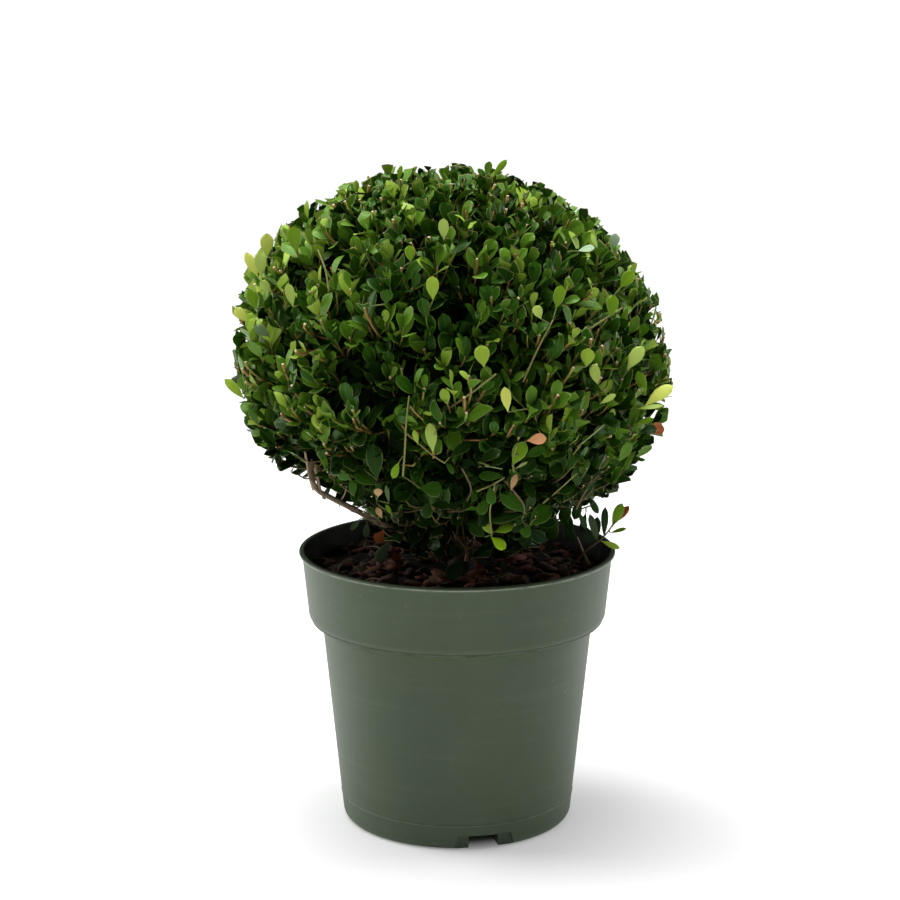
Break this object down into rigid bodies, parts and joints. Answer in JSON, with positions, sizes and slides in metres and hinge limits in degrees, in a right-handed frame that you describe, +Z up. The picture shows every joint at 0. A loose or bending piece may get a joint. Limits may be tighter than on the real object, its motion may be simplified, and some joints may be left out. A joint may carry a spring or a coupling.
{
  "type": "potted japanese holly shrub",
  "caption": "Small-leaved evergreen shrub clipped to a dense ball, growing in a round green nursery pot with a wide collar, for a patio, doorstep or plant table.",
  "frame": {"origin": "centre of the pot's flat underside, where it stands on the ground", "axes": "+Z up along the pot's axis, -Y towards the front of the plant, +X to its right seen from the front"},
  "size_m": [0.2592, 0.2614, 0.3924],
  "materials": {
    "pot_plastic": "satin",
    "potting_mix": "matte",
    "bark": "matte",
    "leaf": "satin"
  },
  "bodies": {
    "root": {"pot": "pot_plastic", "soil": "potting_mix", "trunk": "bark", "bough_left": "bark", "bough_front": "bark", "bough_front_right": "bark", "bough_right": "bark", "bough_back_right": "bark", "bough_back": "bark", "bough_back_left": "bark", "foliage_left": "leaf", "foliage_front": "leaf", "foliage_front_right": "leaf", "foliage_right": "leaf", "foliage_back_right": "leaf", "foliage_back": "leaf", "foliage_back_left": "leaf", "foliage_top": "leaf"}
  },
  "joints": []
}
